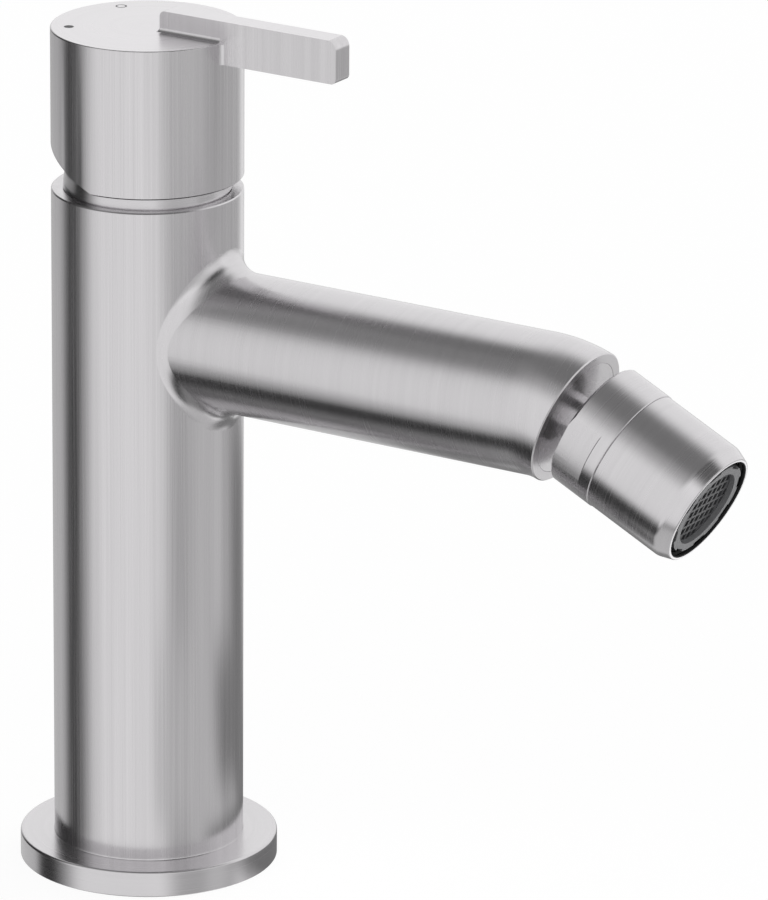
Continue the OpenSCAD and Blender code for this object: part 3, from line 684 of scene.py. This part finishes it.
@dataclass
class OutletShell:
    """The outlet's turned shell, screwed into the swivel nut, with the aerator's thread in its front."""

    side_radius: float = 13.05
    seam: float = 1.6
    seam_edge: float = 0.15
    length: float = 21.5
    slope: float = 18.0
    slope_blend: float = 3.0
    rim_radius: float = 12.1
    rim_edge: float = 0.3
    bore_radius: float = 11.3
    bore_edge: float = 0.15
    bore_foot: float = 9.5
    spigot_radius: float = 11.2
    spigot_foot: float = -0.5
    cup_radius: float = 9.45
    groove: tuple[Point, ...] = ((7.09, 8.45), (7.09, 6.35))
    way_radius: float = 5.0
    thread_depth: float = 0.3
    thread_pitch: float = 1.0
    thread_top: float = 20.9
    thread_turns: int = 5
    slope_steps: int = 12
    rim_steps: int = 8
    cup_steps: int = 24

    def front(self) -> list[Point]:
        """Outline of the front: from the side round into the slope, and over the rim.

        Returns:
            Points [radius, place along the axis].
        """
        slope = math.radians(self.slope)
        drop = self.side_radius - self.rim_radius - self.slope_blend * (1 - math.cos(slope))
        start = self.length - drop / math.tan(slope) - self.slope_blend * math.sin(slope)
        rim = (self.rim_radius - self.rim_edge, self.length - self.rim_edge)
        shoulder = (self.side_radius - self.slope_blend, start)
        return (arc(shoulder, self.slope_blend, 0, self.slope, self.slope_steps)
                + arc(rim, self.rim_edge, self.slope, 90, self.rim_steps))

    def bore(self) -> list[Point]:
        """Outline of the bore, with the grooves of the aerator's thread, down to its foot.

        Returns:
            Points [radius, place along the axis].
        """
        half = self.thread_pitch / 2
        crests = [(self.bore_radius, self.thread_top - i * self.thread_pitch)
                  for i in range(self.thread_turns)]
        thread = [p for r, x in crests for p in ((r, x), (r + self.thread_depth, x - half))]
        mouth = [(self.bore_radius + self.bore_edge, self.length),
                 (self.bore_radius, self.length - self.bore_edge)]
        foot = [(self.bore_radius, thread[-1][1] - half), (self.bore_radius, self.bore_foot)]
        return mouth + thread + foot

    def cup(self) -> list[Point]:
        """Outline of the water way and the ball's cup, back to the spigot's foot.

        Returns:
            Points [radius, place along the axis].
        """
        start = math.degrees(math.asin(self.groove[-1][1] / self.cup_radius))
        end = math.degrees(math.asin(self.spigot_foot / self.cup_radius))
        return ([(self.way_radius, self.bore_foot), (self.way_radius, self.groove[0][1]), *self.groove]
                + arc((0, 0), self.cup_radius, start, end, self.cup_steps))

    def build(self, steel: Material) -> None:
        """Turns the shell and sets it on the outlet.

        Args:
            steel: The finish of its outside.
        """
        axis, ball = outlet_frame()
        outside = [(self.spigot_radius, self.spigot_foot), (self.spigot_radius, self.seam),
                   (self.side_radius - self.seam_edge, self.seam),
                   (self.side_radius, self.seam + self.seam_edge)]
        outline = outside + self.front() + self.bore() + self.cup()
        shell = lathe("outlet_shell_turned", outline + outline[:1], axis, ball)
        # The bore and its thread are coloured near black: painted shade of the deep recess behind the
        # aerator, not the steel's own colour
        thread = Moulded("steel_thread_painted_shade", "#1C1C1D", "#121213", 0.6).material()
        dress(shell, steel, thread)
        # Faces inside the thread's outer radius take the painted-shade colour
        for face in shell.data.polygons:
            out = face.center - ball
            place = out.dot(axis)
            radius = (out - axis * place).length
            face.material_index = int(radius < (self.bore_radius + self.thread_depth) * MM)
        smooth(shell)
        settle(shell, "outlet", "brushed_steel", "outlet_shell")


@dataclass
class SwivelNut:
    """The turned nut that holds the ball, with two spanner flats at its rear that the belt has crowned."""

    radius: float = 13.2
    rear: float = -8.0
    front: float = 1.6
    rear_edge: float = 0.5
    front_edge: float = 0.15
    mouth_radius: float = 7.7
    cup_radius: float = 9.45
    thread_radius: float = 11.25
    thread_foot: float = -0.8
    flat_length: float = 6.9
    flat_depth: float = 0.85
    flat_edge: float = 0.2
    crown_radius: float = 32.0
    cup_steps: int = 20

    def outline(self) -> list[Point]:
        """Outline of the nut: its outside, its thread and the ball's cup.

        Returns:
            Points [radius, place along the axis], closed.
        """
        start = -math.degrees(math.asin(-self.thread_foot / self.cup_radius))
        end = -math.degrees(math.acos(self.mouth_radius / self.cup_radius))
        outside = [(self.mouth_radius, self.rear), (self.radius - self.rear_edge, self.rear),
                   (self.radius, self.rear + self.rear_edge), (self.radius, self.front - self.front_edge),
                   (self.radius - self.front_edge, self.front), (self.thread_radius, self.front),
                   (self.thread_radius, self.thread_foot)]
        return outside + arc((0, 0), self.cup_radius, start, end, self.cup_steps) + outside[:1]

    def flat_tools(self, axis: Vector, ball: Vector, side: int) -> list[Piece]:
        """Solids that mill one flat and break its front edge.

        Args:
            axis: The outlet's axis.
            ball: The ball's centre.
            side: -1 or 1, the side of the outlet that the flat is on.

        Returns:
            The solids to cut away.
        """
        off = self.crown_radius - self.radius + self.flat_depth
        centre = ball - Vector((0, side * off * MM, 0))
        start, end, wide = self.rear - PAST, self.rear + self.flat_length, self.crown_radius + self.radius
        crown, trim = ([(self.crown_radius, start), (wide, start), (wide, x), (self.crown_radius, x),
                        (self.crown_radius, start)] for x in (end, end + PAST))
        low, high = self.radius - self.flat_edge, self.radius + PAST
        edge = lathe("flat_edge_tool", [(low, end - PAST), (high, end - PAST), (high, end + high - low),
                                        (low, end), (low, end - PAST)], axis, ball)
        combine(edge, [lathe("flat_trim_tool", trim, axis, centre)], Tooling.TRIM)
        return [lathe("flat_tool", crown, axis, centre), edge]

    def build(self, steel: Material) -> None:
        """Turns the nut, mills its flats and sets it on the outlet.

        Args:
            steel: Its finish.
        """
        axis, ball = outlet_frame()
        nut = lathe("swivel_nut_turned", self.outline(), axis, ball)
        for side in (-1, 1):
            combine(nut, self.flat_tools(axis, ball, side), Tooling.CUT)
        dress(nut, steel)
        smooth(nut)
        settle(nut, "outlet", "brushed_steel", "swivel_nut")


@dataclass
class EasedPart:
    """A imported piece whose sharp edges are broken, as a deburring wheel leaves them."""

    node: str
    body: str
    width: float = 0.25
    segments: int = 3
    sharp: float = 50.0
    level: float = 0.2

    def build(self, steel: Material, ground: Material) -> None:
        """Copies the piece, joins its triangles to whole faces and rounds its sharp edges.

        Args:
            steel: Its finish.
            ground: The finish of its level tops, painted paler: painted light on the faces that look up.
        """
        name = f"{self.node}_eased"
        piece = bpy.data.objects.new(name, frame["nodes"][self.node].data.copy())
        piece.data.name = name
        bpy.context.collection.objects.link(piece)
        pick(piece)
        bpy.ops.mesh.customdata_custom_splitnormals_clear()
        bpy.ops.object.mode_set(mode="EDIT")
        bpy.ops.mesh.select_all(action="SELECT")
        bpy.ops.mesh.remove_doubles(threshold=WELD)
        bpy.ops.mesh.dissolve_limited(angle_limit=math.radians(self.level))
        bpy.ops.object.mode_set(mode="OBJECT")
        bpy.ops.object.modifier_add(type="BEVEL")
        ease = piece.modifiers[-1]
        ease.width, ease.segments, ease.limit_method = self.width * MM, self.segments, "ANGLE"
        ease.angle_limit = math.radians(self.sharp)
        bpy.ops.object.modifier_apply(modifier=ease.name)
        dress(piece, steel, ground)
        # Faces that look straight up take the paler top finish: painted light on the level tops
        for face in piece.data.polygons:
            face.material_index = int(face.normal.z > FACING)
        smooth(piece)
        settle(piece, self.body, "brushed_steel", self.node)


@dataclass
class HandleMarks:
    """The two temperature marks on the cap: a filled dot for hot and an open ring for cold."""

    bar_proud: float = 4.4
    circle: float = 15.7
    angle: float = 143.5
    dot_radius: float = 1.0
    ring_radius: float = 1.15
    line: float = 0.28
    proud: float = 0.02
    dot_edge: float = 0.1
    steps: int = 48

    def build(self) -> None:
        """Sets both marks on the cap, below the bar that stands above it."""
        cap_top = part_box("handle")[1].z - self.bar_proud * MM
        ink = Moulded("enamel_mark", "#5A5A5C", "#4A4A4C", 0.5).material()
        edge = self.proud / 2
        dot = [(0, 0), (self.dot_radius, 0), (self.dot_radius, edge),
               (self.dot_radius - self.dot_edge, self.proud), (0, self.proud)]
        inner = self.ring_radius - self.line
        ring = [(inner, 0), (self.ring_radius, 0), (self.ring_radius, edge),
                (self.ring_radius - self.line / 2, self.proud), (inner, edge), (inner, 0)]
        turn, reach = math.radians(self.angle), self.circle * MM
        for name, outline, side in (("hot_mark", dot, -1), ("cold_mark", ring, 1)):
            place = Vector((reach * math.cos(turn), side * reach * math.sin(turn), cap_top))
            mark = lathe(name, outline, centre=place, steps=self.steps)
            dress(mark, ink)
            smooth(mark)
            settle(mark, "lever", "dark_plastic")


class Finish(Enum):
    """The finishes that pieces share."""

    UPRIGHT = "steel brushed along the column"
    GROUND = "steel ground fine"
    TURNED = "steel turned about the column"
    OUTLET = "steel turned about the outlet"
    STUD = "steel turned, as cut"
    BRASS = "turned brass"
    RUBBER = "moulded rubber"
    PALE = "natural acetal"
    GREY = "grey acetal"
    DARK = "dark acetal"
    CERAMIC = "lapped alumina"


class CarriedParts:
    """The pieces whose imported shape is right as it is, and only take a finish."""

    def finishes(self) -> dict[Finish, Material]:
        """Makes the finishes that pieces share.

        Returns:
            A material for each shared finish.
        """
        axis, ball = outlet_frame()
        made = {
            Finish.UPRIGHT: BrushedMetal("steel_brushed_handle", Lay.ALONG, light="#DDDBDD", dark="#D0CED0"),
            # Ground fine and without a lay, so that it mirrors evenly; its paler colour is painted light on
            # the level tops
            Finish.GROUND: BrushedMetal("steel_ground_top_painted_light", Lay.ROUND, light="#E8E6E8", dark="#E4E2E4",
                                        roughness=0.3, anisotropy=0.0, scratch_depth=0.0002),
            Finish.TURNED: BrushedMetal("steel_turned", Lay.ROUND),
            Finish.OUTLET: BrushedMetal("steel_turned_outlet", Lay.ROUND, axis=axis, centre=ball,
                                        scratch_depth=0.0003),
            Finish.STUD: BrushedMetal("steel_turned_stud", Lay.ROUND, axis=axis, centre=ball),
            Finish.BRASS: BrushedMetal("brass_turned", Lay.ROUND, light="#DCC48A", dark="#CDB377"),
            Finish.RUBBER: Moulded("rubber_epdm", "#2B2B2C", "#202021", 0.7),
            Finish.PALE: Moulded("acetal_natural", "#E2E0D8", "#D6D4CA", 0.4),
            Finish.GREY: Moulded("acetal_grey", "#8E8E90", "#808082", 0.45),
            Finish.DARK: Moulded("acetal_dark", "#5C5C5E", "#4C4C4E", 0.45),
            Finish.CERAMIC: Moulded("alumina_lapped", "#F0EDE4", "#E6E3DA", 0.15)}
        return {kind: finish.material() for kind, finish in made.items()}

    def groups(self) -> dict[Finish, tuple[str, ...]]:
        """The nodes that take each finish."""
        return {
            Finish.UPRIGHT: ("screw_plug",),
            Finish.TURNED: ("base_flange", "pivot_pin", "grub_screw"),
            Finish.OUTLET: ("aerator_screen",),
            Finish.BRASS: ("cartridge_nut", "spindle"),
            Finish.STUD: ("ball_stud",),
            Finish.RUBBER: ("base_seal", "inlet_seals", "disc_seals", "stud_washer", "rotor_seal",
                            "ball_seal", "aerator_washer"),
            Finish.PALE: ("cartridge_housing", "cartridge_base", "rotor", "disc_carrier", "rear_seat",
                          "front_seat"),
            Finish.GREY: ("aerator_insert",),
            Finish.DARK: ("aerator_distributor", "aerator_grid"),
            Finish.CERAMIC: ("fixed_disc", "moving_disc")}

    def build(self, finishes: dict[Finish, Material]) -> None:
        """Dresses every carried piece.

        Args:
            finishes: The shared finishes.
        """
        for kind, names in self.groups().items():
            for name in names:
                dress(frame["nodes"][name], finishes[kind])
                log.info("%s: carried over", name)


# Studio


def sector(tree: Tree, way: Socket, azimuth: float, half_width: float, blur: float) -> Socket:
    """Tells how far a direction lies within a sector round the object. Angles in degrees.

    Args:
        tree: The world's or the floor's node tree.
        way: Direction of sight, or a place on the floor.
        azimuth: Middle of the sector.
        half_width: From its middle to its edge.
        blur: Width of its soft edge.

    Returns:
        1 inside and 0 outside.
    """
    turn, half, soft = (math.radians(a) for a in (azimuth, half_width, blur / 2))
    ahead = add_node(tree, "ShaderNodeVectorMath", {0: way, 1: (math.sin(turn), -math.cos(turn), 0)},
                     operation="DOT_PRODUCT")
    aside = add_node(tree, "ShaderNodeVectorMath", {0: way, 1: (math.cos(turn), math.sin(turn), 0)},
                     operation="DOT_PRODUCT")
    off = add_node(tree, "ShaderNodeMath", {0: aside.outputs["Value"], 1: ahead.outputs["Value"]},
                   operation="ARCTAN2")
    off = add_node(tree, "ShaderNodeMath", {0: off.outputs[0]}, operation="ABSOLUTE")
    return add_node(tree, "ShaderNodeMapRange", {0: off.outputs[0], 1: half + soft, 2: half - soft},
                    interpolation_type="SMOOTHSTEP").outputs[0]


def between(tree: Tree, value: Socket, share: Socket, low: Point, high: Point) -> Socket:
    """Keeps a share only between two soft edges.

    Args:
        tree: The world's or the floor's node tree.
        value: The measure that the edges are on.
        share: The share so far.
        low: The lower edge and the width of its blur.
        high: The upper edge and the width of its blur.

    Returns:
        The share that is left.
    """
    for edge, blur in (low, (high[0], -high[1])):
        inside = add_node(tree, "ShaderNodeMapRange", {0: value, 1: edge - blur / 2, 2: edge + blur / 2},
                          interpolation_type="SMOOTHSTEP")
        share = add_node(tree, "ShaderNodeMath", {0: share, 1: inside.outputs[0]},
                         operation="MULTIPLY").outputs[0]
    return share


@dataclass(frozen=True)
class SoftPanel:
    """A softbox or white wall of the studio, seen from the object, with soft edges. Angles in degrees."""

    azimuth: float
    half_width: float
    side_blur: float
    low: float
    low_blur: float
    high: float
    high_blur: float
    light: float

    def add(self, tree: Tree, way: Socket, height: Socket, total: Socket) -> Socket:
        """Adds the panel's light to the studio.

        Args:
            tree: The world's node tree.
            way: Direction of sight.
            height: Its elevation, in degrees.
            total: The light so far.

        Returns:
            The light with this panel in it.
        """
        share = sector(tree, way, self.azimuth, self.half_width, self.side_blur)
        share = between(tree, height, share, (self.low, self.low_blur), (self.high, self.high_blur))
        return add_node(tree, "ShaderNodeMath", {0: share, 1: self.light, 2: total},
                        operation="MULTIPLY_ADD").outputs[0]


@dataclass(frozen=True)
class PaintedFloorLight:
    """Painted light on the floor that only the steel mirrors: a dim patch is painted shade standing in for
    the object's own shadow, a bright one is painted glow standing in for a panel's light.

    Angles in degrees, distances from the column's axis in millimetres.
    """

    azimuth: float
    half_width: float
    side_blur: float
    start: float
    end: float
    reach_blur: float
    light: float

    def add(self, tree: Tree, place: Socket, under: Socket) -> Socket:
        """Paints the patch on the mirrored floor as an emission of its light level: painted shade when dim,
        painted glow when bright.

        Args:
            tree: The floor's node tree.
            place: The place on the floor.
            under: The shader so far.

        Returns:
            The shader with this patch on it.
        """
        share = sector(tree, place, self.azimuth, self.half_width, self.side_blur)
        away = add_node(tree, "ShaderNodeVectorMath", {0: place}, operation="LENGTH").outputs["Value"]
        blur = self.reach_blur * MM
        share = between(tree, away, share, (self.start * MM, blur), (self.end * MM, blur))
        glow = add_node(tree, "ShaderNodeEmission", {"Strength": self.light})
        return add_node(tree, "ShaderNodeMixShader", {0: share, 1: under, 2: glow.outputs[0]}).outputs[0]


@dataclass
class Studio:
    """A white photographic studio with large soft panels, and a pale floor."""

    ambient: float = 0.036
    panels: tuple[SoftPanel, ...] = (
        SoftPanel(1.5, 48.5, 34, -24, 10, 48, 44, 0.91),
        SoftPanel(6, 44, 20, -40, 14, -24, 10, 0.91),
        SoftPanel(182, 60, 30, -9, 12, 60, 36, 0.945),
        SoftPanel(-133, 49, 12, -32, 10, -12, 12, 0.594),
        SoftPanel(-146, 41, 10, -60, 14, -30, 10, 0.594),
        SoftPanel(86, 41, 24, -45, 20, 34, 16, 0.45),
        SoftPanel(98, 11, 14, -45, 20, 34, 16, 0.153),
        SoftPanel(84, 40, 24, 2, 16, 32, 12, 0.27),
        SoftPanel(115, 40, 30, -80, 10, -50, 12, 0.675),
        SoftPanel(60, 18, 16, -56, 12, -36, 12, 0.28),
        SoftPanel(165, 35, 24, -65, 20, -27, 8, 0.765),
        SoftPanel(158, 39, 20, -27, 8, -9, 12, 0.48),
        SoftPanel(0, 181, 1, -95, 1, -56, 12, 0.234),
        SoftPanel(0, 181, 1, 52, 16, 95, 1, 0.18),
        SoftPanel(-62, 16, 20, 40, 20, 64, 20, 0.1),
    )
    # Three dim patches of painted shadow where the object's shade would lie, then three bright patches of
    # painted glow under the outlet
    painted_floor_lights: tuple[PaintedFloorLight, ...] = (
        PaintedFloorLight(148, 33, 20, 65, 150, 40, 0.24),
        PaintedFloorLight(168, 20, 16, -100, 315, 130, 0.24),
        PaintedFloorLight(130, 38, 24, -100, 45, 16, 0.2),
        PaintedFloorLight(76, 34, 16, 55, 168, 40, 0.62),
        PaintedFloorLight(74, 25, 14, 430, 3000, 120, 0.62),
        PaintedFloorLight(121, 16, 12, 430, 3000, 120, 0.47),
    )
    floor_radius: float = 3000.0
    floor_gap: float = 0.05
    floor_steps: int = 128
    floor_glow: float = 0.91
    floor_grey: Colour = (0.16, 0.16, 0.16, 1)
    floor_bounce: Colour = (0.8, 0.8, 0.8, 1)
    white: Colour = (1, 1, 1, 1)

    def world(self) -> None:
        """Builds the studio's light: panels for the object, plain white for the camera."""
        made = bpy.data.worlds.new("studio")
        bpy.context.scene.world = made
        made.use_nodes = True
        tree = made.node_tree
        tree.nodes.clear()
        way = add_node(tree, "ShaderNodeTexCoord").outputs["Generated"]
        parts = add_node(tree, "ShaderNodeSeparateXYZ", {0: way})
        rise = add_node(tree, "ShaderNodeMath", {0: parts.outputs[2]}, operation="ARCSINE")
        height = add_node(tree, "ShaderNodeMath", {0: rise.outputs[0]}, operation="DEGREES").outputs[0]
        total = add_node(tree, "ShaderNodeMath", {0: self.ambient, 1: 0.0}, operation="ADD").outputs[0]
        for panel in self.panels:
            total = panel.add(tree, way, height, total)
        room = add_node(tree, "ShaderNodeBackground", {"Color": total})
        white = add_node(tree, "ShaderNodeBackground", {"Color": self.white})
        ray = add_node(tree, "ShaderNodeLightPath")
        mixed = add_node(tree, "ShaderNodeMixShader", {0: ray.outputs["Is Camera Ray"], 1: room.outputs[0],
                                                       2: white.outputs[0]})
        add_node(tree, "ShaderNodeOutputWorld", {0: mixed.outputs[0]})

    def floor(self) -> None:
        """Lays the floor: white to the camera with the object's soft shadow, and painted shade and painted
        glow that only the steel mirrors.
        """
        deselect()
        bpy.ops.mesh.primitive_circle_add(vertices=self.floor_steps, radius=self.floor_radius * MM,
                                          fill_type="NGON", location=(0, 0, -self.floor_gap * MM))
        floor = bpy.context.object
        floor.name = floor.data.name = "studio_floor"
        made = bpy.data.materials.new("floor_white")
        made.use_nodes = True
        tree = made.node_tree
        tree.nodes.clear()
        ray = add_node(tree, "ShaderNodeLightPath")
        bounce = add_node(tree, "ShaderNodeBsdfDiffuse", {"Color": self.floor_bounce})
        shade = add_node(tree, "ShaderNodeBsdfDiffuse", {"Color": self.floor_grey})
        glow = add_node(tree, "ShaderNodeEmission", {"Color": self.white, "Strength": self.floor_glow})
        seen = add_node(tree, "ShaderNodeAddShader", {0: shade.outputs[0], 1: glow.outputs[0]})
        lit = add_node(tree, "ShaderNodeMixShader", {0: ray.outputs["Is Camera Ray"], 1: bounce.outputs[0],
                                                     2: seen.outputs[0]})
        mirrored = add_node(tree, "ShaderNodeBsdfTransparent").outputs[0]
        place = add_node(tree, "ShaderNodeTexCoord").outputs["Object"]
        for patch in self.painted_floor_lights:
            mirrored = patch.add(tree, place, mirrored)
        mixed = add_node(tree, "ShaderNodeMixShader", {0: ray.outputs["Is Glossy Ray"], 1: lit.outputs[0],
                                                       2: mirrored})
        add_node(tree, "ShaderNodeOutputMaterial", {0: mixed.outputs[0]})
        dress(floor, made)

    def build(self) -> None:
        """Sets light and floor."""
        self.world()
        self.floor()
        bpy.context.scene.view_settings.view_transform = "Standard"


@dataclass
class PhotoCamera:
    """The camera at the photograph's viewing angle. Angles in degrees, lengths in millimetres."""

    azimuth: float = 32.239
    elevation: float = 18.406
    roll: float = 0.43
    distance: float = 1673.8
    lens: float = 328.61
    aside: float = 48.06
    height: float = 87.78
    sensor: float = 36.0
    sight: float = 20000.0

    def build(self) -> None:
        """Sets the camera and makes it the scene's."""
        turn, rise, tip = (math.radians(a) for a in (self.azimuth, self.elevation, self.roll))
        back = Vector((math.sin(turn) * math.cos(rise), -math.cos(turn) * math.cos(rise), math.sin(rise)))
        right = Vector((math.cos(turn), math.sin(turn), 0))
        target = right * self.aside + Vector((0, 0, self.height))
        level = right * math.cos(tip) + back.cross(right) * math.sin(tip)
        deselect()
        bpy.ops.object.camera_add(location=(target + back * self.distance) * MM)
        camera = bpy.context.object
        camera.name = "photo_camera"
        camera.rotation_euler = Matrix((level, back.cross(level), back)).transposed().to_euler()
        camera.data.lens = self.lens
        camera.data.sensor_width = self.sensor
        camera.data.clip_end = self.sight * MM
        bpy.context.scene.camera = camera


def main() -> None:
    """Builds the camera, the studio and every piece in order."""
    PhotoCamera().build()
    Studio().build()
    carried = CarriedParts()
    finishes = carried.finishes()
    carried.build(finishes)
    EasedPart("handle", "lever").build(finishes[Finish.UPRIGHT], finishes[Finish.GROUND])
    SwivelNut().build(finishes[Finish.OUTLET])
    OutletShell().build(finishes[Finish.OUTLET])
    NeckRing().build(finishes[Finish.TURNED])
    MixerBody().build()
    HandleMarks().build()


if __name__ == "__main__":
    main()
